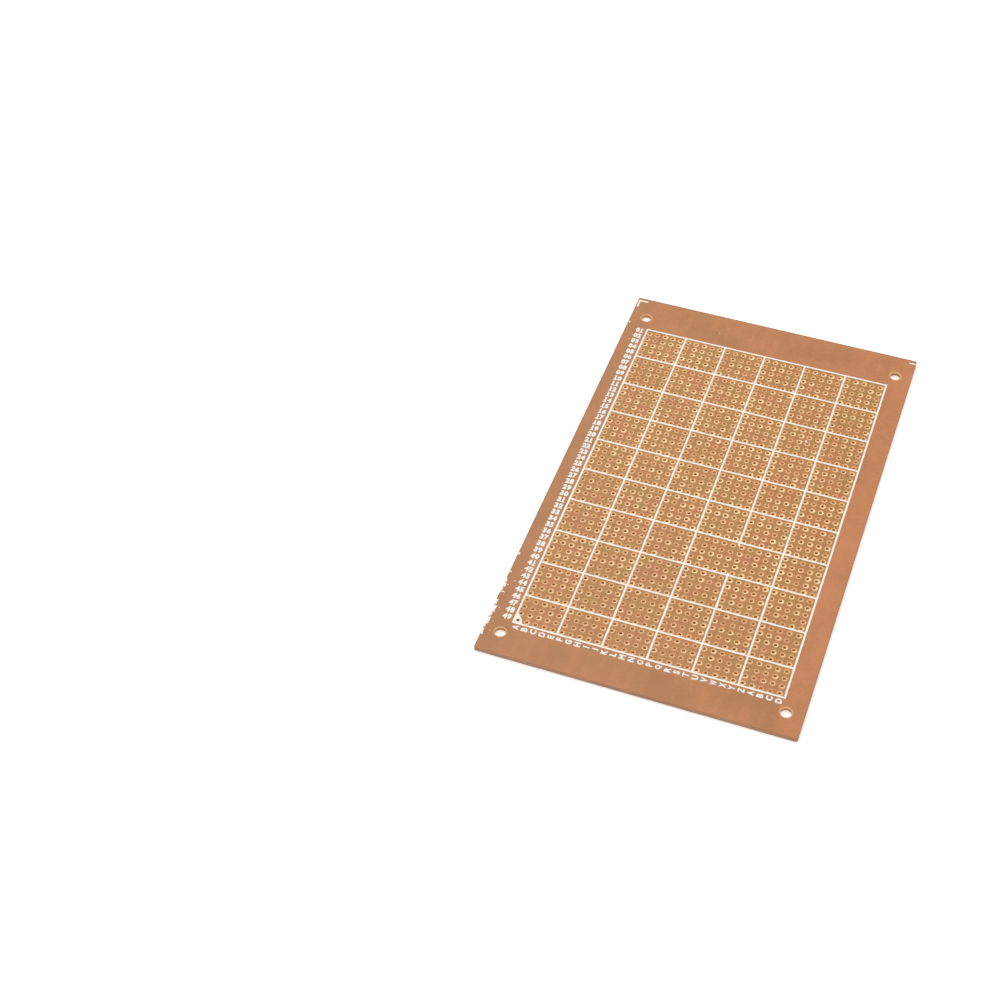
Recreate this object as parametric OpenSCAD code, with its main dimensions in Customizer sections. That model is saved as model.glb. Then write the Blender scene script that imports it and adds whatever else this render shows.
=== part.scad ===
// Prototype circuit board: a phenolic-paper laminate, punched with a field of lead holes,
// with round copper pads and two rows of contact fingers on its underside.
// X runs along the lettered columns, Y along the numbered rows, and Z up through the board.
// The board lies on its copper, whose lower face is at Z = 0.

/* [Laminate] */
// Width of the board, along X
board_w = 90; // [70:1:130]
// Length of the board, along Y
board_l = 150; // [110:1:200]
// Thickness of the laminate
laminate_t = 1.2; // [0.8:0.1:2.4]
// Radius of the sheared corners
corner_r = 0.6; // [0.3:0.1:3]

/* [Mounting holes] */
// Diameter of the four mounting holes
mount_hole_d = 3.2; // [2.2:0.1:4.2]
// Distance from the long edges to the mounting holes' centres
mount_inset_x = 5; // [4:0.1:7]
// Distance from the short edges to the mounting holes' centres, before the shear's offset
mount_inset_y = 8; // [5:0.1:10]
// How far the sheared outline leaves the punching and the etching towards -Y
shear_offset = 0.6; // [0:0.1:0.9]

/* [Lead holes] */
// Distance between neighbouring lead holes, both ways
pitch = 2.54; // [2:0.01:3.2]
// Diameter of a lead hole
lead_hole_d = 1; // [0.6:0.05:1.3]
// Least distance from the long edges to the nearest lead pads
field_side_margin = 7; // [3:0.1:20]
// Least distance from the contact fingers to the nearest lead pads
field_end_gap = 3; // [1:0.1:20]
// How far the field of lead holes sits towards -Y from the middle between the fingers
field_offset = 0.6; // [0:0.1:1]

/* [Copper] */
// Thickness of the copper
copper_t = 0.035; // [0.018:0.001:0.105]
// Gap between the copper of neighbouring lead pads
pad_gap = 0.44; // [0.3:0.01:0.6]
// Distance between neighbouring contact fingers, centre to centre
finger_pitch = 4.064; // [3:0.001:6]
// Gap between the copper of neighbouring contact fingers
finger_gap = 1.364; // [0.5:0.001:2]
// Length of a contact finger
finger_l = 7.9; // [5:0.1:12]
// Distance from the short edges to the fingers' outer ends, before the shear's offset
finger_inset = 1.3; // [1:0.1:4]
// Least distance from a mounting hole's wall to the first contact finger
finger_hole_gap = 0.4; // [0.2:0.1:4]

/* [Hidden] */
$fn = 24;
// How far a cutting cylinder runs past a face
over = 1;
// The lead pads come in this many bands of rows, one node each
pad_bands = 10;

pad_d = pitch - pad_gap;
finger_w = finger_pitch - finger_gap;
copper_side_z = copper_t;

// Middle of the mounting holes and of the contact fingers, and middle of the lead holes
tool_y = -shear_offset;
field_y = tool_y - field_offset;

// Mounting holes
mount_x = board_w / 2 - mount_inset_x;
mount_y = board_l / 2 - mount_inset_y;

// Contact fingers: as many as fit between the mounting holes
finger_room = 2 * (mount_x - mount_hole_d / 2 - finger_hole_gap) - finger_w;
finger_count = floor(finger_room / finger_pitch) + 1;
finger_y = board_l / 2 - finger_inset - finger_l / 2;

// Lead holes: as many as fit between the long edges and between the rows of fingers
field_room_x = board_w - 2 * field_side_margin - pad_d;
field_room_y = 2 * (finger_y - finger_l / 2 - field_end_gap - field_offset) - pad_d;
columns = floor(field_room_x / pitch) + 1;
rows = floor(field_room_y / pitch) + 1;

// Column 0 is the first letter, at -X, and row 0 is the first number, at +Y
function column_x(column) = (column - (columns - 1) / 2) * pitch;
function row_y(row) = field_y + ((rows - 1) / 2 - row) * pitch;
function first_row(band) = floor(band * rows / pad_bands);

module drill(diameter) {
    translate([0, 0, copper_side_z - over])
        cylinder(d = diameter, h = laminate_t + 2 * over);
}

module sheet() {
    x = board_w / 2;
    y = board_l / 2;
    translate([0, 0, copper_side_z]) {
        translate([-x + corner_r, -y, 0]) cube([board_w - 2 * corner_r, board_l, laminate_t]);
        translate([-x, -y + corner_r, 0]) cube([board_w, board_l - 2 * corner_r, laminate_t]);
        for (side = [-1, 1], end = [-1, 1])
            translate([side * (x - corner_r), end * (y - corner_r), 0])
                cylinder(r = corner_r, h = laminate_t);
    }
}

module laminate() {
    color("#C1845E")
        difference() {
            sheet();
            for (column = [0 : columns - 1], row = [0 : rows - 1])
                translate([column_x(column), row_y(row), 0])
                    drill(lead_hole_d);
            for (side = [-1, 1], end = [-1, 1])
                translate([side * mount_x, tool_y + end * mount_y, 0])
                    drill(mount_hole_d);
        }
}

module lead_pad() {
    difference() {
        cylinder(d = pad_d, h = copper_t);
        translate([0, 0, -over]) cylinder(d = lead_hole_d, h = copper_t + 2 * over);
    }
}

module lead_pads(band) {
    color("#F0D2AA")
        for (column = [0 : columns - 1], row = [first_row(band) : first_row(band + 1) - 1])
            translate([column_x(column), row_y(row), 0])
                lead_pad();
}

module contact_finger() {
    straight = finger_l - finger_w;
    translate([-finger_w / 2, -straight / 2, 0]) cube([finger_w, straight, copper_t]);
    for (end = [-1, 1])
        translate([0, end * straight / 2, 0]) cylinder(d = finger_w, h = copper_t);
}

module contact_fingers(end) {
    color("#F0D2AA")
        for (finger = [0 : finger_count - 1])
            translate([(finger - (finger_count - 1) / 2) * finger_pitch, tool_y + end * finger_y, 0])
                contact_finger();
}

laminate();
lead_pads(0);  // lead_pads_01
lead_pads(1);  // lead_pads_02
lead_pads(2);  // lead_pads_03
lead_pads(3);  // lead_pads_04
lead_pads(4);  // lead_pads_05
lead_pads(5);  // lead_pads_06
lead_pads(6);  // lead_pads_07
lead_pads(7);  // lead_pads_08
lead_pads(8);  // lead_pads_09
lead_pads(9);  // lead_pads_10
contact_fingers(1);  // contact_fingers_far
contact_fingers(-1);  // contact_fingers_near
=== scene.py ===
# %% [markdown]
# # A punched prototype board
#
# The board is one sheet of brown phenolic paper, punched with 1470 lead holes. Its underside carries
# the copper, and its upper side a white printed index. The sheet and the copper come ready from the
# CAD model. This lesson adds what is too thin or too small for CAD: the ink, the etched index marks
# and the lips that the punch leaves, and then it gives each surface its finish.

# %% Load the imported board
import math
import bpy
from mathutils import Matrix, Vector


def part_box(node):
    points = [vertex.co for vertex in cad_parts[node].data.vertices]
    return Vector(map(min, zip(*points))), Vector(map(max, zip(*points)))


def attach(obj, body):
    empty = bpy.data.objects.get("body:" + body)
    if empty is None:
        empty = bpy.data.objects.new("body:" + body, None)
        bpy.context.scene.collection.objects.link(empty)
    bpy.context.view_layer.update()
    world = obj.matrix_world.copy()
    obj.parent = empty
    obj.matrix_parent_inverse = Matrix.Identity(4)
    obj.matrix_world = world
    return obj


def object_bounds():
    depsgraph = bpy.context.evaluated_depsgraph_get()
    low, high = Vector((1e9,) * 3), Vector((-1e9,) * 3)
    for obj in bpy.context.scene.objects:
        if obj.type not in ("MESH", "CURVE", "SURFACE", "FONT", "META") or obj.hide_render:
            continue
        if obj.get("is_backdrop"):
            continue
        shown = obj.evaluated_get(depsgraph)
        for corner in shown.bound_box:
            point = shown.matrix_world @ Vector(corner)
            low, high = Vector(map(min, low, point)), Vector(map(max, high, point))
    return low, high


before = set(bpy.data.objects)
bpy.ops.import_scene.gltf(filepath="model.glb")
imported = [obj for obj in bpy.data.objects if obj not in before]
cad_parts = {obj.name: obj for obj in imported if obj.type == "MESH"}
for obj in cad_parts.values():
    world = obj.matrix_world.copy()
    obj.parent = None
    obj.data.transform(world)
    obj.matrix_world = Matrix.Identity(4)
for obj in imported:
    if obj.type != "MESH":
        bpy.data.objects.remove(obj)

MM = 0.001
cad_box = [list(corner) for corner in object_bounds()]
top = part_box("laminate")[1][2]
print("CAD box in mm:", [[round(v / MM, 3) for v in corner] for corner in cad_box])
print("the printed side is at z =", round(top / MM, 3), "mm")

# %% [markdown]
# ## Where the holes are
#
# Nearly everything on the board lines up with the lead holes, so their grid is written down once.
# Columns are counted from A at the left, and rows from 01 at the far end. The field's middle lies a
# little nearer than the board's, because the shear that cuts the sheet isn't exact.

# %% The grid of lead holes
pitch = 2.54 * MM
columns, rows = 30, 49
field_y = -1.2 * MM


def column_x(column):
    """The x of a column, which may be a fraction for a place between two."""
    return (column - (columns - 1) / 2) * pitch


def row_y(row):
    """The y of a row, 0 for the row marked 01."""
    return field_y + ((rows - 1) / 2 - row) * pitch


print("columns from", round(column_x(0) / MM, 2), "to", round(column_x(columns - 1) / MM, 2), "mm")
print("rows from", round(row_y(0) / MM, 2), "to", round(row_y(rows - 1) / MM, 2), "mm")

# %% [markdown]
# ## Camera
#
# The camera stands where the photographer stood: some half a metre from the board, at 48 degrees
# above the table. Its place was worked out from the holes' places in the picture. The turn is given
# as the camera's own three axes, right, up and back, which are the columns of its matrix.

# %% Set up the camera
camera_data = bpy.data.cameras.new("camera")
camera = bpy.data.objects.new("camera", camera_data)
bpy.context.collection.objects.link(camera)
bpy.context.scene.camera = camera
right = Vector((0.93769, 0.34709, -0.0163)).normalized()
back = Vector((0.2438, -0.62378, 0.7426)).normalized()
up = back.cross(right).normalized()
right = up.cross(back)
place = Vector((73.9, -356.8, 399.5)) * MM
camera.matrix_world = Matrix.Translation(place) @ Matrix((right, up, back)).transposed().to_4x4()
camera_data.sensor_width = 36
camera_data.lens = 66.47
camera_data.clip_start, camera_data.clip_end = 0.01, 20
print("camera at", [round(v, 3) for v in place], "with a", camera_data.lens, "mm lens")

# %% [markdown]
# ## Helpers for working in edit mode
#
# A modeller clicks on vertices and faces to select them. In code the same is done by asking where
# they are. These few helpers do that, and they also put an object's place into its mesh, so that
# every finished piece has its origin at the middle of the frame. An operator acts on all that is
# selected, and loading the board leaves it selected, so everything is deselected first.


# %% Select by place, and settle a piece
def fresh():
    """Leaves nothing selected, so that the next operator acts on its own object."""
    if bpy.context.mode != "OBJECT":
        bpy.ops.object.mode_set(mode="OBJECT")
    bpy.ops.object.select_all(action="DESELECT")


def pick(kind, wanted):
    """In edit mode, selects the vertices, edges or faces whose place passes the test."""
    bpy.ops.mesh.select_mode(type=kind)
    bpy.ops.mesh.select_all(action="DESELECT")
    bpy.ops.object.mode_set(mode="OBJECT")
    mesh = bpy.context.object.data
    if kind == "VERT":
        for vertex in mesh.vertices:
            vertex.select = wanted(vertex.co)
    elif kind == "EDGE":
        for edge in mesh.edges:
            a, b = (mesh.vertices[i].co for i in edge.vertices)
            edge.select = wanted(a, b)
    else:
        for face in mesh.polygons:
            face.select = wanted(face.center)
    bpy.ops.object.mode_set(mode="EDIT")


def settle():
    """Puts the active object's place, turn and size into its mesh."""
    bpy.ops.object.transform_apply(location=True, rotation=True, scale=True)


print(len(bpy.context.selected_objects), "objects are selected after loading")
fresh()
print(len(bpy.context.selected_objects), "are selected now")

# %% [markdown]
# ## The printed grid
#
# The white lines are screen printed, a film of ink some hundredths of a millimetre thick. They box
# the holes five by five, and the last row of boxes is four holes high. A grid of faces is added,
# one face a box, and each face is inset by half a line's width. The inner faces are then deleted,
# and what stays is the lattice of lines. The outer lines get their other half by moving the rim out.

# %% Print the grid of lines
line_w = 0.54 * MM
ink_t = 0.02 * MM
boxes_x, boxes_y = 6, 10
box_size = 5 * pitch
fresh()
grid_left, grid_far = column_x(-0.5), row_y(-0.5)
grid_right = grid_left + boxes_x * box_size
grid_near = grid_far - boxes_y * box_size
bpy.ops.mesh.primitive_grid_add(
    x_subdivisions=boxes_x, y_subdivisions=boxes_y, size=1,
    location=((grid_left + grid_right) / 2, (grid_far + grid_near) / 2, top))
ink_lines = bpy.context.object
ink_lines.name = "ink_grid_lines"
ink_lines.scale = (grid_right - grid_left, grid_far - grid_near, 1)
settle()
print(len(ink_lines.data.polygons), "boxes")

# %% [markdown]
# The last row of boxes is pulled up to the height of four holes first, while each box is one face.

# %% Shorten the last row, cut the lattice and widen its rim
tiny = 0.01 * MM
bpy.ops.object.mode_set(mode="EDIT")
pick("VERT", lambda v: v.y < grid_near + tiny)
bpy.ops.transform.translate(value=(0, pitch, 0))
grid_near += pitch
bpy.ops.mesh.select_mode(type="FACE")
bpy.ops.mesh.select_all(action="SELECT")
bpy.ops.mesh.inset(thickness=line_w / 2, use_individual=True)
bpy.ops.mesh.delete(type="FACE")
for axis, edge, step in ((0, grid_left, -1), (0, grid_right, 1), (1, grid_near, -1), (1, grid_far, 1)):
    pick("VERT", lambda v: abs(v[axis] - edge) < tiny)
    shift = [0, 0, 0]
    shift[axis] = step * line_w / 2
    bpy.ops.transform.translate(value=shift)
bpy.ops.object.mode_set(mode="OBJECT")
print(len(ink_lines.data.polygons), "strips of ink")

# %% [markdown]
# One upright line misses a stretch on this board, where the screen was blocked. Two bisect cuts mark
# its ends, and the faces between them are deleted. Each line is then cut into short lengths whose
# corners wander by a few hundredths of a millimetre, so that it isn't ruler straight.


# %% Leave out the blocked stretch and let the edges wander
gap_x = column_x(19.5)
gap_far, gap_near = field_y - 15.2 * MM, field_y - 25.9 * MM
cuts_a_side, wander = 13, 0.06 * MM


def on_gap_line(face, spare):
    """True on the line with the gap, between the gap's ends or as far beyond them as spare says."""
    return abs(face.x - gap_x) < line_w / 2 and gap_near - spare < face.y < gap_far + spare


bpy.ops.object.mode_set(mode="EDIT")
for cut_y in (gap_far, gap_near):
    pick("FACE", lambda face: on_gap_line(face, box_size))
    bpy.ops.mesh.bisect(plane_co=(0, cut_y, 0), plane_no=(0, 1, 0))
pick("FACE", lambda face: on_gap_line(face, 0))
bpy.ops.mesh.delete(type="FACE")
pick("EDGE", lambda a, b: (a - b).length > 4 * line_w)
bpy.ops.mesh.subdivide(number_cuts=cuts_a_side)
bpy.ops.mesh.select_all(action="SELECT")
bpy.ops.transform.vertex_random(offset=wander, seed=3)
bpy.ops.transform.resize(value=(1, 1, 0), center_override=(0, 0, top))
bpy.ops.object.mode_set(mode="OBJECT")
print(len(ink_lines.data.polygons), "lengths of line")

# %% [markdown]
# ## Printed letters and numbers
#
# The index along the field is plain sans lettering. A text object gives each character its outline.
# Ink spreads as it is pressed through the screen, so the text gets a bevel, which fattens it and
# rounds its sides off, and it is then flattened to a film. Half of the film's body is sunk in the
# sheet. Each character is made only once.


# %% Make each character once
def make_character(character, height, width, spread, film, widest):
    """A film in the shape of one character, with the middle of its foot at the origin."""
    fresh()
    bpy.ops.object.text_add()
    letter = bpy.context.object
    letter.data.body = character
    letter.data.bevel_depth = spread
    letter.data.bevel_resolution = 0
    letter.data.resolution_u = 3
    bpy.ops.object.convert(target="MESH")
    xs = [v.co.x for v in letter.data.vertices]
    ys = [v.co.y for v in letter.data.vertices]
    own_width = max(xs) - min(xs)
    widest = widest or own_width
    narrow = width / max(widest, own_width)
    letter.scale = (narrow, height / (max(ys) - min(ys)), film / spread)
    letter.location = (-(min(xs) + max(xs)) / 2 * letter.scale.x, -min(ys) * letter.scale.y, 0)
    settle()
    bpy.ops.object.mode_set(mode="EDIT")
    bpy.ops.mesh.select_all(action="SELECT")
    bpy.ops.mesh.remove_doubles(threshold=0.01 * MM)
    bpy.ops.object.mode_set(mode="OBJECT")
    return letter, widest


def make_type(characters, height, width, spread, film, model):
    """One set of characters, none of them wider than the model character."""
    first, widest = make_character(model, height, width, spread, film, None)
    made = {model: first}
    for character in characters:
        if character != model:
            made[character] = make_character(character, height, width, spread, film, widest)[0]
    return made


digits = "0123456789"
letters = [chr(ord("A") + column % 26) for column in range(columns)]
alphabet = sorted(set(letters))
print("column letters:", "".join(letters))

# %% [markdown]
# A made character is then stamped wherever it is needed, as a copy with a mesh of its own. Its turn
# and place go straight into the mesh. A mirrored copy comes out with its faces inside out, so they
# are flipped.


# %% Stamp copies of the characters
def stamp(kind, character, x, y, z, turn=0.0, mirror=False):
    """Copies a character to its place. turn is in degrees, anticlockwise."""
    source = kind[character]
    copy = source.copy()
    copy.data = source.data.copy()
    bpy.context.collection.objects.link(copy)
    copy.data.transform(
        Matrix.Translation((x, y, z))
        @ Matrix.Diagonal((-1 if mirror else 1, 1, 1, 1))
        @ Matrix.Rotation(math.radians(turn), 4, "Z"))
    if mirror:
        copy.data.flip_normals()
    return copy


def put_away(kind):
    """Deletes a set of characters once they have been stamped."""
    fresh()
    for letter in kind.values():
        letter.select_set(True)
    bpy.ops.object.delete()


print(2 * rows, "digits and", columns, "letters to print")

# %% [markdown]
# The row numbers stand upright to the left of the field, two digits each, so close that their ink
# nearly runs together. The figure 1 has a foot, which a hyphen gives it. The column letters lie along
# the near end. They are turned by a quarter turn, with their heads towards the row numbers. All the
# numbers are joined to one piece, and all the letters to another.


# %% Print the row numbers and the column letters
def join(pieces, name):
    """Joins objects into one, under a new name."""
    fresh()
    for piece in pieces:
        piece.select_set(True)
    bpy.context.view_layer.objects.active = pieces[0]
    bpy.ops.object.join()
    joined = bpy.context.object
    joined.name = name
    joined.data.name = name
    return joined


number_x, number_h, digit_step = -40.3 * MM, 2.15 * MM, 1.24 * MM
number_lift = 0.15 * MM
digit_w = digit_step + 0.14 * MM
foot_h = 0.45 * MM
ink_digits = make_type(digits, number_h, digit_w, spread=0.1, film=0.9 * ink_t, model="0")
foot, _ = make_character("-", foot_h, digit_step, spread=0.1, film=0.85 * ink_t, widest=None)
ink_digits["1"] = join([ink_digits["1"], foot], "one_with_a_foot")
marks = []
for row in range(rows):
    for place_in_number, digit in enumerate(f"{row + 1:02d}"):
        x = number_x + (place_in_number - 0.5) * digit_step
        marks.append(stamp(ink_digits, digit, x, row_y(row) + number_lift - number_h / 2, top))
put_away(ink_digits)
row_numbers = join(marks, "ink_row_numbers")

letter_y, letter_h, letter_w = field_y - 63.7 * MM, 1.95 * MM, 1.65 * MM
ink_letters = make_type(alphabet, letter_h, letter_w, spread=0.07, film=0.8 * ink_t, model="H")
marks = [stamp(ink_letters, letter, column_x(column) + letter_h / 2, letter_y, top, turn=90)
         for column, letter in enumerate(letters)]
put_away(ink_letters)
column_letters = join(marks, "ink_column_letters")
print(len(row_numbers.data.polygons) + len(column_letters.data.polygons), "faces of lettering")

# %% [markdown]
# ## Corner mark, ticks and stray ink
#
# A solid white corner round the last lead hole shows which way up the screen was. It is a rectangle,
# and three bisect cuts take its inner corner off. Small ticks mark the far corners, where the
# screen's frame was lined up. At the left edge ink has run over from the next board on the sheet, in
# a ragged strip and a few specks.


# %% Print the corner mark round the last hole
def patch(x0, y0, x1, y1):
    """A flat rectangle of ink between two corners, in field millimetres."""
    fresh()
    bpy.ops.mesh.primitive_plane_add(
        size=1, location=((x0 + x1) / 2 * MM, field_y + (y0 + y1) / 2 * MM, top))
    bpy.context.object.scale = ((x1 - x0) * MM, (y1 - y0) * MM, 1)
    settle()
    return bpy.context.object


corner_mark = patch(-38.1, -62.2, -35.3, -58.7)
corner_mark.name = "ink_corner_mark"
bpy.ops.object.mode_set(mode="EDIT")
for x, y, *away in ((-35.3, -61.9, 1.3, 0.4), (-35.7, -60.6, 1.2, 0.9), (-36.6, -59.4, 0.6, 0.8)):
    bpy.ops.mesh.select_all(action="SELECT")
    bpy.ops.mesh.bisect(
        plane_co=(x * MM, field_y + y * MM, top), plane_no=(*away, 0), clear_outer=True)
bpy.ops.object.mode_set(mode="OBJECT")
print("the corner mark has", len(corner_mark.data.polygons[0].vertices), "corners")

# %% [markdown]
# The lead hole stays open through the mark, because a punch goes through ink and paper alike. The
# print came first and the punching after it, so the hole is cut from the film with a Boolean. A
# Boolean needs a closed shape, so Solidify gives the film its thickness first.


# %% Open the lead hole in the corner mark
hole_r = 0.5 * MM


def thicken(piece, thickness):
    """Gives a flat film its thickness, upwards."""
    fresh()
    piece.select_set(True)
    bpy.context.view_layer.objects.active = piece
    film = piece.modifiers.new("film", "SOLIDIFY")
    film.thickness = thickness
    film.offset = 1
    bpy.ops.object.modifier_apply(modifier=film.name)
    heights = [v.co.z / MM for v in piece.data.vertices]
    print(piece.name, "spans z", round(min(heights), 4), "to", round(max(heights), 4), "mm")


thicken(corner_mark, 0.7 * ink_t)
fresh()
bpy.ops.mesh.primitive_cylinder_add(
    vertices=24, radius=hole_r * 1.05, depth=1 * MM, location=(column_x(0), row_y(rows - 1), top))
punch = bpy.context.object
fresh()
corner_mark.select_set(True)
bpy.context.view_layer.objects.active = corner_mark
opening = corner_mark.modifiers.new("opening", "BOOLEAN")
opening.operation = "DIFFERENCE"
opening.object = punch
bpy.ops.object.modifier_apply(modifier=opening.name)
fresh()
punch.select_set(True)
bpy.ops.object.delete()
print("the corner mark has", len(corner_mark.data.polygons), "faces with its hole")

# %% [markdown]
# The ragged strips start as planes that are cut across into narrow bands. The vertices of their
# right edge are then moved at random, with a fixed seed so that each run gives the same edge.


# %% Print the ticks and the ragged strips
def ragged(x0, y0, x1, y1, cuts, rough, seed):
    """A strip of ink whose edge on the right is torn."""
    strip = patch(x0, y0, x1, y1)
    bpy.ops.object.mode_set(mode="EDIT")
    pick("EDGE", lambda a, b: abs(a.y - b.y) > tiny)
    bpy.ops.mesh.subdivide(number_cuts=cuts)
    pick("VERT", lambda v: v.x > x1 * MM - tiny)
    bpy.ops.transform.vertex_random(offset=rough * MM, seed=seed)
    bpy.ops.mesh.select_all(action="SELECT")
    bpy.ops.transform.resize(value=(1, 1, 0), center_override=(0, 0, top))
    bpy.ops.object.mode_set(mode="OBJECT")
    return strip


edge_x, cuts_a_mm = -44.95, 2.5
ticks = [
    patch(-44.6, 74.6, -41.6, 75.15), patch(-44.6, 71.9, -44.05, 74.6),
    patch(42.9, 74.45, 44.9, 74.95),
]
strips = [
    ragged(edge_x, y0, x1, y1, max(2, round((y1 - y0) * cuts_a_mm)), rough, seed)
    for seed, (x1, y0, y1, rough) in enumerate((
        (-44.4, -68.8, -66.6, 0.4), (-44.6, -66.2, -64.9, 0.25), (-44.2, -64.9, -62.6, 0.45),
        (-44.5, -62.3, -60.4, 0.35), (-44.0, -60.4, -57.9, 0.5), (-44.4, -57.6, -55.9, 0.35),
        (-44.6, -53.3, -51.4, 0.35), (-44.3, -51.2, -49.6, 0.45), (-44.6, -49.4, -47.8, 0.3),
        (-44.4, -38.7, -37.9, 0.2)))
]
print(len(ticks), "ticks and", len(strips), "ragged strips")

# %% [markdown]
# Specks are small eight-sided discs, pulled out of round in the same way. All the stray ink is then
# joined to one piece with the ticks.


# %% Print the specks and join the stray ink
def speck(x, y, wide, long, seed):
    """A small blot of ink."""
    fresh()
    bpy.ops.mesh.primitive_circle_add(
        vertices=8, radius=0.5, fill_type="NGON", location=(x * MM, field_y + y * MM, top))
    blot = bpy.context.object
    blot.scale = (wide * MM, long * MM, 1)
    settle()
    bpy.ops.object.mode_set(mode="EDIT")
    bpy.ops.mesh.select_all(action="SELECT")
    bpy.ops.transform.vertex_random(offset=0.2 * min(wide, long) * MM, seed=seed)
    bpy.ops.transform.resize(value=(1, 1, 0), center_override=(0, 0, top))
    bpy.ops.object.mode_set(mode="OBJECT")
    return blot


specks = [
    speck(-44.2, -52.9, 1.2, 0.45, 1), speck(-44.6, -45.3, 0.5, 0.6, 2),
    speck(-41.8, -44.1, 0.3, 0.3, 3), speck(-42.4, -48.2, 0.35, 0.3, 4),
    speck(-41.2, -42.8, 0.25, 0.3, 5), speck(-44.5, 64.3, 0.5, 0.8, 6),
    speck(-43.1, -63.6, 0.3, 0.3, 7), speck(-43.2, -58.6, 0.25, 0.35, 8),
    speck(-42.9, -66.9, 0.25, 0.3, 9), speck(-43.7, -50.1, 0.25, 0.5, 10),
    speck(-16.1, 68.4, 0.25, 0.3, 11), speck(21.0, 31.4, 0.6, 0.9, 12),
]
stray_ink = join(ticks + strips + specks, "ink_ticks_and_strays")
print(len(stray_ink.data.polygons), "faces of ticks and stray ink")

# %% [markdown]
# ## The print's own place
#
# A screen never lands exactly on the punching. On this board the whole print sits 0.22 mm to the
# right and 0.29 mm up, turned by a twelfth of a degree and stretched by a sixth of a per cent. The
# lines, numbers and letters are moved together, as one screen. The lines and the stray ink then get
# their thickness. No two films are equally thick, because two faces in one plane would flicker where
# they overlap.

# %% Shift the print as one screen, and give it thickness
screen_shift, screen_turn, screen_stretch = (0.22 * MM, 0.29 * MM, 0), math.radians(0.08), 1.0017
screen = (Matrix.Translation(screen_shift)
          @ Matrix.Rotation(screen_turn, 4, "Z")
          @ Matrix.Diagonal((screen_stretch, screen_stretch, 1, 1)))
for piece in (ink_lines, row_numbers, column_letters):
    piece.data.transform(screen)
thicken(ink_lines, ink_t)
thicken(stray_ink, 0.6 * ink_t)
ink = [ink_lines, row_numbers, column_letters, corner_mark, stray_ink]
for piece in ink:
    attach(piece, "root")
print("ink pieces:", [piece.name for piece in ink])

# %% [markdown]
# ## Etched index marks
#
# The copper side carries an index too, etched with the pads and so in copper. It is read from below,
# where left and right change places, so its characters are mirrored. The letters stand over their
# own columns. The numbers have three digits, and they run the other way from the printed ones.

# %% Etch the letters and numbers of the copper side
copper_t = 0.035 * MM
etched_y, etched_x, etched_step, etched_drop = field_y + 62.6 * MM, -42 * MM, 0.95 * MM, 1.1 * MM
etched_h, etched_w, etched_digit_h, etched_digit_w = 1.9 * MM, 1.3 * MM, 1.65 * MM, 0.78 * MM
etched_letters = make_type(alphabet, etched_h, etched_w, spread=0.008, film=copper_t, model="H")
marks = [stamp(etched_letters, letter, column_x(column), etched_y, copper_t, mirror=True)
         for column, letter in enumerate(letters)]
put_away(etched_letters)
etched_digits = make_type(digits, etched_digit_h, etched_digit_w, spread=0.008, film=copper_t, model="0")
for row in range(rows):
    for place_in_number, digit in enumerate(f"{rows - row:03d}"):
        x = etched_x - (place_in_number - 1) * etched_step
        marks.append(stamp(etched_digits, digit, x, row_y(row) - etched_drop, copper_t, mirror=True))
put_away(etched_digits)
index_marks = join(marks, "etched_index_marks")
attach(index_marks, "root")
print(len(index_marks.data.polygons), "faces of etched marks")

# %% [markdown]
# ## Punch lips
#
# A punch pushes the paper's surface up a little round each hole. The lip is too low for CAD, but it
# catches the light. One lip is a circle just inside the hole, extruded three times: up the wall to
# the crest, across it, and down into the sheet. Two Array modifiers repeat it over the field. There
# are 1470 of them, so one lip has few faces.

# %% Raise a lip round each lead hole
lip_sides, lip_foot = 14, 0.05 * MM
lip_profile = ((0.062 * MM, 1.07), (-0.002 * MM, 1.06), (-0.014 * MM, 1.09))
fresh()
bpy.ops.mesh.primitive_circle_add(
    vertices=lip_sides, radius=hole_r * 0.99, location=(column_x(0), row_y(0), top - lip_foot))
lips = bpy.context.object
settle()
bpy.ops.object.mode_set(mode="EDIT")
bpy.ops.mesh.select_all(action="SELECT")
hole_middle = (column_x(0), row_y(0), 0)
for rise, spread in lip_profile:
    bpy.ops.mesh.extrude_region_move(TRANSFORM_OT_translate={"value": (0, 0, rise)})
    bpy.ops.transform.resize(value=(spread, spread, 1), center_override=hole_middle)
bpy.ops.mesh.select_all(action="SELECT")
bpy.ops.mesh.normals_make_consistent(inside=False)
bpy.ops.object.mode_set(mode="OBJECT")
for axis, count, step in ((0, columns, pitch), (1, rows, -pitch)):
    repeat = lips.modifiers.new("repeat", "ARRAY")
    repeat.count = count
    repeat.use_relative_offset = False
    repeat.use_constant_offset = True
    repeat.constant_offset_displace = [step if i == axis else 0 for i in range(3)]
    bpy.ops.object.modifier_apply(modifier=repeat.name)
bpy.ops.object.shade_smooth()
lips.name = "punch_lips"
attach(lips, "root")
print(len(lips.data.polygons) * 2, "triangles of punch lips")
upward = sum(face.normal.z > 0 for face in lips.data.polygons)
print(upward, "of", len(lips.data.polygons), "lip faces look up")

# %% [markdown]
# ## Colours
#
# The finishes below are written in colours as they look on screen, from 0 to 255, because they are
# easiest to judge that way. A shader takes linear values, which this function works out.


# %% Turn a screen colour into a shader's colour
def srgb(red, green, blue):
    """The linear red, green, blue and alpha of a colour that is seen on screen."""
    return tuple(
        v / 12.92 if v <= 0.04045 else ((v + 0.055) / 1.055) ** 2.4
        for v in (red / 255, green / 255, blue / 255)) + (1.0,)


print("the middle grey 128 is", round(srgb(128, 128, 128)[0], 3), "to a shader")

# %% [markdown]
# ## Writing finishes as sums
#
# A procedural finish is a chain of nodes, and most of them are arithmetic. Dragging them together is
# slow to read back, so a small class wraps a socket and overloads Python's operators. An expression
# such as 1 - mask then adds its own Math nodes.


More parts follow.
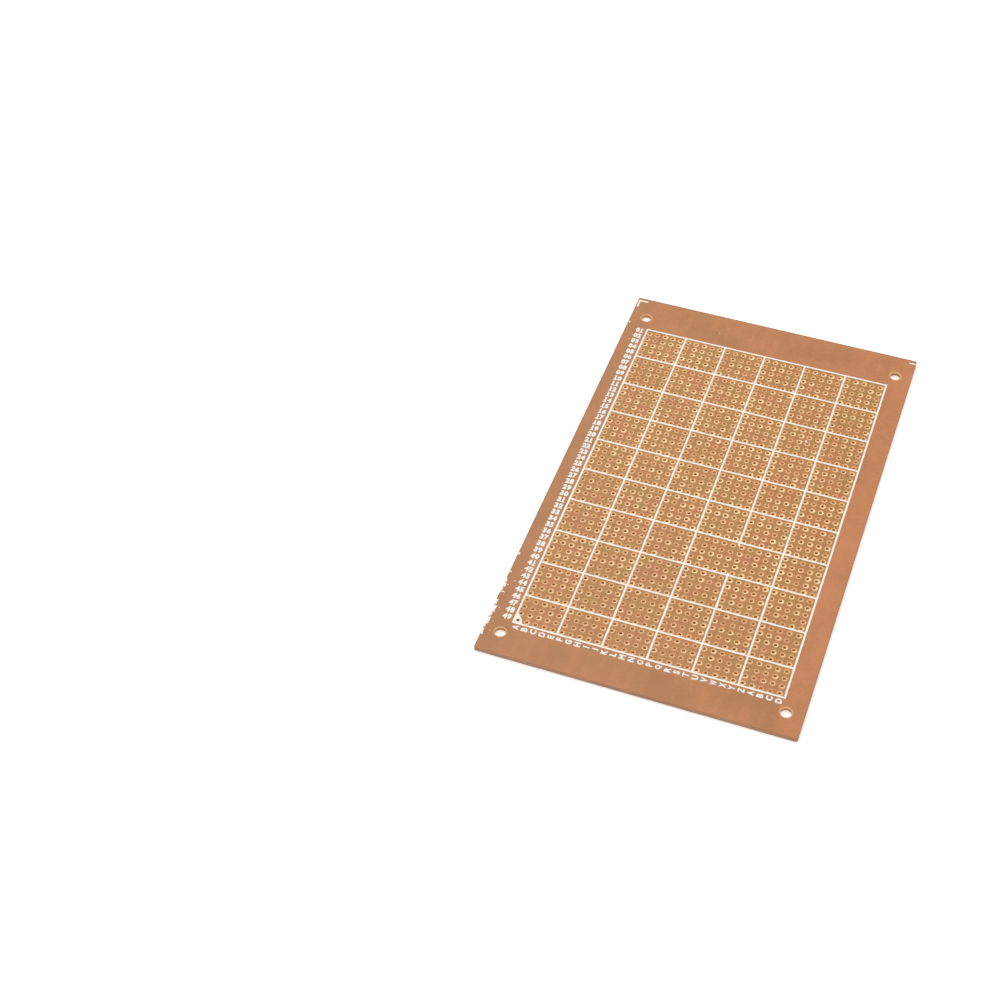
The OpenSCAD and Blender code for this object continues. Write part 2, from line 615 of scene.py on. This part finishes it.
# %% A socket that can be calculated with
class Wire:
    """An output socket. Arithmetic on it adds Math nodes to its finish."""

    def __init__(self, finish, socket):
        self.finish, self.socket = finish, socket

    def math(self, operation, *values):
        """Adds one Math node."""
        inputs = dict(enumerate(values))
        return self.finish.node("ShaderNodeMath", {"operation": operation}, inputs)

    def __add__(self, other):
        return self.math("ADD", self, other)

    def __radd__(self, other):
        return self.math("ADD", other, self)

    def __sub__(self, other):
        return self.math("SUBTRACT", self, other)

    def __rsub__(self, other):
        return self.math("SUBTRACT", other, self)

    def __mul__(self, other):
        return self.math("MULTIPLY", self, other)

    def __rmul__(self, other):
        return self.math("MULTIPLY", other, self)

    def __truediv__(self, other):
        return self.math("DIVIDE", self, other)

    def __abs__(self):
        return self.math("ABSOLUTE", self)

    def __round__(self):
        return self.math("ROUND", self)

    def root(self):
        return self.math("SQRT", self)

    def at_least(self, other):
        return self.math("MAXIMUM", self, other)

    def at_most(self, other):
        return self.math("MINIMUM", self, other)

    def below(self, other):
        """1 where the value is less than the other, and 0 elsewhere."""
        return self.math("LESS_THAN", self, other)

    def fade(self, start, end, low=0.0, high=1.0):
        """Goes smoothly from low at start to high at end, and stays there beyond them."""
        return self.finish.node(
            "ShaderNodeMapRange", {"interpolation_type": "SMOOTHSTEP"},
            {"Value": self, "From Min": start, "From Max": end, "To Min": low, "To Max": high})

    def other(self, name):
        """Another output of the same node."""
        return Wire(self.finish, self.socket.node.outputs[name])


# %% [markdown]
# Every other node comes from one method, node(). It belongs to a second class, which holds the node
# tree of a material or of the world. A few nodes that are needed again and again have a method of
# their own.


# %% A finish that nodes are added to
class Finish:
    """A material, or a given world, whose nodes are added one after another."""

    def __init__(self, name, world=None):
        self.holder = world or bpy.data.materials.new(name)
        self.holder.use_nodes = True
        self.tree = self.holder.node_tree
        self.tree.nodes.clear()

    def node(self, kind, settings=None, inputs=None, output=0):
        """Adds a node: its type, then its settings, then the values or links of its sockets."""
        node = self.tree.nodes.new(kind)
        for setting, value in (settings or {}).items():
            setattr(node, setting, value)
        for name, value in (inputs or {}).items():
            if isinstance(value, Wire):
                self.tree.links.new(value.socket, node.inputs[name])
            else:
                node.inputs[name].default_value = value
        return Wire(self, node.outputs[output] if node.outputs else None)

    def blend(self, mask, one, two):
        """The colour one where the mask is 0, and two where it is 1."""
        return self.node(
            "ShaderNodeMix", {"data_type": "RGBA"}, {0: mask, 6: one, 7: two}, output=2)

    def noise(self, where, size, detail=3.0, rough=0.55):
        """Blotches of about that size, in millimetres, as a value round a half."""
        return self.node(
            "ShaderNodeTexNoise", None,
            {"Vector": where, "Scale": 1 / size, "Detail": detail, "Roughness": rough})

    def millimetres(self):
        """The place on the board in millimetres, as a vector."""
        place = self.node("ShaderNodeTexCoord", output="Object")
        return self.node("ShaderNodeVectorMath", {"operation": "SCALE"}, {0: place, "Scale": 1 / MM})

    def seen(self):
        """1 for what the camera sees, straight or by way of gloss or glass, and 0 for other light."""
        path = self.node("ShaderNodeLightPath", output="Is Camera Ray")
        return (path + path.other("Is Glossy Ray") + path.other("Is Transmission Ray")).at_most(1.0)

    def close(self, shader, output="ShaderNodeOutputMaterial"):
        """Joins the shader to the output of the material or world."""
        self.node(output, None, {"Surface": shader})
        print("finish", self.holder.name, "has", len(self.tree.nodes), "nodes")
        return self.holder


# %% [markdown]
# ## Finding the nearest hole
#
# Each punched hole has a pale ring, where the paper's layers came apart. The shader needs to know how
# far each point is from its nearest hole. Divided by the pitch, a place becomes a hole's number and a
# rest: rounding gives the number, and what is left over is the distance to that hole's middle. The
# four mounting holes and the contact fingers have a middle of their own, tool_y, between the
# field's and the board's.


# %% Distance to the nearest lead hole and mounting hole
tool_y = -0.6 * MM
mount_x, mount_y = 40 * MM, 67 * MM


def near_hole(f, x, y):
    """The way in mm from the nearest lead hole's middle, as x and y, and that hole's chance number."""
    step, mid_x, far_y = pitch / MM, (columns - 1) / 2, (rows - 1) / 2
    column = round(x / step + mid_x).at_least(0.0).at_most(columns - 1.0)
    row = round((y - field_y / MM) / step + far_y).at_least(0.0).at_most(rows - 1.0)
    dx = x - (column - mid_x) * step
    dy = y - field_y / MM - (row - far_y) * step
    number = f.node("ShaderNodeCombineXYZ", None, {0: column, 1: row})
    chance = f.node("ShaderNodeTexWhiteNoise", {"noise_dimensions": "3D"}, {"Vector": number})
    return dx, dy, chance


def far(dx, dy):
    """The length of a way given as x and y."""
    return (dx * dx + dy * dy).root()


def near_mount(x, y):
    """Distance in mm to the nearest of the four mounting holes' middles."""
    dx = abs(x) - mount_x / MM
    dy = abs(y - tool_y / MM) - mount_y / MM
    return far(dx, dy)


print("lead holes are numbered to", columns - 1, "across and to", rows - 1, "along")

# %% [markdown]
# ## Phenolic paper
#
# Phenolic paper is brown, a little glossy, and mottled by its fibres. One material serves the whole
# sheet, and its colour is mixed in steps, with a function for each. The paper comes first. It is
# golden between the holes and redder in the margins, the left and the near one a little darker than
# the right one. Stains of some millimetres lean towards red or olive. The contact fingers of the
# underside show faintly through. All these lengths are in millimetres.


# %% Colour the paper
half_field_x, half_field_y = 38.1, 62.3
finger_step, finger_y, fingers_end = 4.064, 69.75, 38.0


def finger_shadow(x, y):
    """1 over the contact fingers of the underside, and 0 elsewhere."""
    beside = abs(x - round(x / finger_step) * finger_step).fade(1.0, 1.7, 1.0, 0.0)
    along = abs(abs(y - tool_y / MM) - finger_y).fade(3.3, 4.3, 1.0, 0.0)
    return beside * along * abs(x).below(fingers_end)


def paper_colour(f, where, x, y, cloud, fibre, grain):
    """The brown of the upper face, without its rings."""
    margins = x.fade(-41.0, -37.0, -0.09, 0.0) + x.fade(37.0, 41.0, 0.0, 0.07)
    margins = margins + y.fade(-66.0, -62.0, -0.05, 0.0)
    paper = (cloud * 0.55 + fibre * 0.45 + margins).fade(0.3, 0.7)
    reddish = f.blend(paper, srgb(156, 101, 42), srgb(186, 116, 64))
    stain = f.noise(where, 4.5, 3.0).fade(0.35, 0.65)
    deep = f.blend(stain, srgb(157, 95, 35), srgb(147, 105, 25))
    pale = f.blend(stain, srgb(177, 113, 51), srgb(167, 123, 41))
    golden = f.blend(fibre.fade(0.35, 0.65), deep, pale)
    field = abs(x).below(half_field_x) * abs(y - field_y / MM).below(half_field_y)
    face = f.blend(field * y.fade(-62.0, -42.0, 0.6, 0.87), reddish, golden)
    face = f.blend(grain.fade(0.45, 0.75) * 0.35, face, srgb(192, 116, 78))
    return f.blend(finger_shadow(x, y) * 0.14, face, srgb(150, 90, 52))


print("the field reaches", half_field_x, "by", half_field_y, "mm from its middle")

# %% [markdown]
# The punch tears the paper's layers apart round each hole, and the torn rim is pale. A White Noise
# node gives each hole's number its own value, so some rings are strong and some weak, and each leans
# its own way. They are strongest in the middle and far part of the field. On the near right side of
# each rim sits a painted highlight, a bright crest where the rim slopes towards the lamp, and every
# ring is shifted a little that way, which widens the pale ring under the painted highlight.


# %% Place the pale rings
def rings(f, where, x, y, grain):
    """The way to the hole, then how much ring, how strong it is, how much painted highlight, and its
    tone.
    """
    dx, dy, chance = near_hole(f, x, y)
    lean = f.node("ShaderNodeSeparateXYZ", None, {0: chance.other("Color")})
    distance = far(dx, dy)
    # Every ring is shifted 0.06 mm right and 0.08 mm nearer, towards its painted highlight; the rest of
    # the lean is the hole's own.
    leaning = far(dx - 0.06 - (lean - 0.5) * 0.24, dy + 0.08 - (lean.other("Y") - 0.5) * 0.24)
    central = abs(x).fade(18.0, 38.0, 1.0, 0.85) * y.fade(-62.0, -15.0, 0.65, 1.0)
    reach = 0.85 + central * 0.06 + chance * 0.08 + (grain - 0.5) * 0.5
    torn = f.noise(where, 24.0, 1.0).fade(0.35, 0.6, 0.86, 1.08) * (0.55 + central * 0.45)
    strong = (chance * 0.7 + lean.other("Z") * 0.3).fade(0.12, 0.78) * central
    ring = (1 - (leaning / reach).fade(0.74, 1.04)) * (0.7 + strong * 0.3) * torn
    # Painted highlight: the near right side of each rim, the side that slopes towards the lamp.
    lit_side = ((dx - dy) / distance).fade(0.1, 1.3)
    painted_highlight = (1 - (distance + (grain - 0.5) * 0.5).fade(0.6, 0.84)) * lit_side
    tone = f.blend(strong * 0.7 + lean.other("Y") * 0.4, srgb(229, 168, 116), srgb(246, 204, 146))
    return distance, ring, strong, painted_highlight * (0.15 + strong * 0.7), tone


print(columns * rows, "rings to place")

# %% [markdown]
# Inside the holes and along the sheared edges the layers show as fine level streaks, from a noise
# that is stretched sideways. The bores are pale at the top, where the punch tore them, and darker
# below, and that darkening with depth is painted shade, the shade that falls inside a narrow hole.


# %% Colour the cut walls
def wall_colour(f, where, in_bore, depth):
    """The cut layers of the sheet's edge, and of the bores where in_bore is 1."""
    stretched = f.node(
        "ShaderNodeVectorMath", {"operation": "MULTIPLY"}, {0: where, 1: (0.15, 0.15, 5.0)})
    layer = f.noise(stretched, 0.5, 3.0).fade(0.35, 0.65)
    edge = f.blend(layer, srgb(158, 112, 84), srgb(196, 146, 114))
    bore = f.blend(layer, srgb(176, 118, 62), srgb(208, 148, 88))
    # Pale torn paper at the top of the bore, then painted shade that darkens it with depth.
    bore = f.blend(depth.fade(0.05, 0.5, 1.0, 0.0), bore, srgb(250, 208, 148))
    return f.blend(in_bore, edge, bore)


print("the walls are", round((top - copper_t) / MM, 3), "mm high")

# %% [markdown]
# The finish puts them together. The normal tells the upper face, the underside and the walls apart,
# and the distance to the holes tells a bore's wall from the sheet's edge. The shears have crushed
# the last third of a millimetre, which is darker. The relief is a bump of a few hundredths.


# %% Mix the finish of the laminate
crushed_x, crushed_y = 44.65, 74.65


def laminate_finish(name):
    """The brown sheet, with its rings, walls and edges."""
    f = Finish(name)
    where = f.millimetres()
    x = f.node("ShaderNodeSeparateXYZ", None, {0: where})
    y, z = x.other("Y"), x.other("Z")
    normal = f.node("ShaderNodeNewGeometry", output="True Normal")
    facing = f.node("ShaderNodeSeparateXYZ", None, {0: normal}, output=2)
    on_wall = abs(facing).below(0.5)
    cloud = f.noise(where, 14.0, 2.0)
    fibre = f.noise(where, 1.3, 4.0, 0.7)
    grain = f.noise(where, 0.28, 2.0)
    distance, ring, strong, painted_highlight, ring_tone = rings(f, where, x, y, grain)
    mount = near_mount(x, y)

    face = paper_colour(f, where, x, y, cloud, fibre, grain)
    mount_halo = 1 - mount.fade(1.7, 2.1)
    face = f.blend((ring + mount_halo * 0.4).at_most(1.0), face, ring_tone)
    # Painted highlight: a pale cream crest on the near right of each rim.
    face = f.blend(painted_highlight, face, srgb(255, 236, 192))
    crushed = (abs(x) - crushed_x).at_least(abs(y) - crushed_y).fade(0.0, 0.3)
    face = f.blend(crushed * 0.45, face, srgb(120, 84, 62))
    under = f.blend(fibre.fade(0.35, 0.65), srgb(178, 118, 70), srgb(192, 132, 86))
    face = f.blend(facing.below(-0.5), face, under)

    in_bore = (distance.below(0.75) + mount.below(1.8)).at_most(1.0)
    # How far down the bore a point is, for its painted shade.
    depth = (top / MM - z) * (0.55 + strong * 0.45)
    colour = f.blend(on_wall, face, wall_colour(f, where, in_bore, depth))

    rough = 0.42 + (fibre - 0.5) * 0.25 + ring * 0.12 + on_wall * 0.3
    height = fibre * 0.25 + grain * 0.35 + cloud * 0.6 - (1 - distance.fade(0.5, 0.95)) * 0.5
    bump = f.node("ShaderNodeBump", None, {"Strength": 0.5, "Distance": 0.03 * MM, "Height": height})
    shader = f.node("ShaderNodeBsdfPrincipled", None,
                    {"Base Color": colour, "Roughness": rough, "Normal": bump, "IOR": 1.5})
    return f.close(shader)


phenolic_paper = laminate_finish("phenolic_paper")

# %% [markdown]
# ## Ink and copper
#
# The ink is a warm white, thinner in places, where the brown shows through. The copper is lacquered:
# pale, with fine speckle and softly blurred reflections. Both get their unevenness from noise in
# three sizes, because real surfaces vary over centimetres as well as over hundredths.


# %% Mix the ink and the lacquered copper
def ink_finish(name):
    """White screen ink on brown paper."""
    f = Finish(name)
    where = f.millimetres()
    cloud = f.noise(where, 6.0, 2.0)
    blot = f.noise(where, 0.9, 3.0)
    grain = f.noise(where, 0.2, 2.0)
    thin = (0.55 * blot + 0.3 * grain + 0.15 * cloud).fade(0.54, 0.72) * 0.35
    colour = f.blend(thin, srgb(238, 230, 220), srgb(222, 186, 152))
    bump = f.node("ShaderNodeBump", None,
                  {"Strength": 0.4, "Distance": 0.02 * MM, "Height": blot * 0.6 + grain * 0.4})
    shader = f.node("ShaderNodeBsdfPrincipled", None,
                    {"Base Color": colour, "Roughness": 0.45 + thin * 0.5, "Normal": bump})
    return f.close(shader)


def copper_finish(name):
    """Copper foil under clear lacquer."""
    f = Finish(name)
    where = f.millimetres()
    cloud = f.noise(where, 11.0, 2.0)
    speckle = f.noise(where, 0.5, 3.0)
    grain = f.noise(where, 0.12, 2.0)
    tone = (cloud * 0.4 + speckle * 0.4 + grain * 0.2).fade(0.38, 0.62)
    colour = f.blend(tone, srgb(240, 204, 160), srgb(253, 229, 193))
    bump = f.node("ShaderNodeBump", None,
                  {"Strength": 0.35, "Distance": 0.01 * MM, "Height": speckle * 0.5 + grain * 0.5})
    shader = f.node("ShaderNodeBsdfPrincipled", None,
                    {"Base Color": colour, "Metallic": 0.85, "Roughness": 0.34 + speckle * 0.2,
                     "Coat Weight": 0.3 + (cloud - 0.5) * 0.4, "Coat Roughness": 0.2, "Normal": bump})
    return f.close(shader)


screen_ink = ink_finish("screen_ink")
lacquered_copper = copper_finish("lacquered_copper")

# %% [markdown]
# A finish is put on an object by writing it into all its material slots. The CAD nodes keep their
# meshes, and only their slots change.


# %% Put the finishes on
def wear(thing, material):
    """Gives the object this material everywhere."""
    if not thing.data.materials:
        thing.data.materials.append(material)
    for slot in thing.material_slots:
        slot.material = material


for name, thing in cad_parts.items():
    wear(thing, phenolic_paper if name == "laminate" else lacquered_copper)
for piece in ink:
    wear(piece, screen_ink)
wear(lips, phenolic_paper)
wear(index_marks, lacquered_copper)
print(len(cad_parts), "CAD nodes and", len(ink) + 2, "pieces have their finish")

# %% [markdown]
# ## Floor and light
#
# The photo was taken on a white sweep under soft light. The floor is a large white plane that takes
# the board's shadow and throws no light back at the board. It shines a little to the camera, so that
# the shadow stays as faint as in the photo. From below it is see-through, so that the copper side
# can be looked at too.

# %% Lay the floor
fresh()
bpy.ops.mesh.primitive_plane_add(size=6, location=(0, 0, -0.05 * MM))
floor = bpy.context.object
floor.name = "floor"
settle()
floor.visible_diffuse = False
floor.visible_glossy = False
floor.visible_shadow = False
glow_level = 0.2
sweep = Finish("white_sweep")
white = sweep.node("ShaderNodeBsdfDiffuse", None, {"Color": (1, 1, 1, 1)})
glow = sweep.node("ShaderNodeEmission", None, {"Strength": sweep.seen() * glow_level})
lit = sweep.node("ShaderNodeAddShader", None, {0: white, 1: glow})
clear = sweep.node("ShaderNodeBsdfTransparent")
behind = sweep.node("ShaderNodeNewGeometry", output="Backfacing")
wear(floor, sweep.close(sweep.node("ShaderNodeMixShader", None, {0: behind, 1: lit, 2: clear})))
floor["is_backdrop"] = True

# %% [markdown]
# The world gives an even light from everywhere, and one large lamp behind and to the left adds a
# gentle direction. Together they light a level surface at about one, the level at which a colour
# renders as it is written. To the camera and in reflections the world is pure white.

# %% Light the scene
world = bpy.context.scene.world or bpy.data.worlds.new("studio")
bpy.context.scene.world = world
sky_level = 0.78
sky = Finish("studio", world)
strength = sky_level + sky.seen() * (1 - sky_level)
background = sky.node("ShaderNodeBackground", None, {"Color": (1, 1, 1, 1), "Strength": strength})
sky.close(background, "ShaderNodeOutputWorld")

light = bpy.data.lights.new("softbox_left", "AREA")
light.energy, light.size = 14, 1.5
softbox = bpy.data.objects.new("softbox_left", light)
bpy.context.collection.objects.link(softbox)
softbox.location = (-0.6, 0.6, 1.5)
softbox.rotation_euler = (-softbox.location).to_track_quat("-Z", "Y").to_euler()
bpy.context.scene.view_settings.view_transform = "Standard"
print("lit by the world and", len([o for o in bpy.data.objects if o.type == "LIGHT"]), "lamp")

# %% [markdown]
# ## Measure and finish
#
# The dressed board's box is printed, as the CAD box was at the start, so that the two can be set
# side by side. The dressed board has to stay the size of the CAD model.

# %% Print the dressed board's size
made_box = [list(corner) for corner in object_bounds()]
{"cad": cad_box, "made": made_box}
print("dressed box in mm:", [[round(v / MM, 3) for v in corner] for corner in made_box])
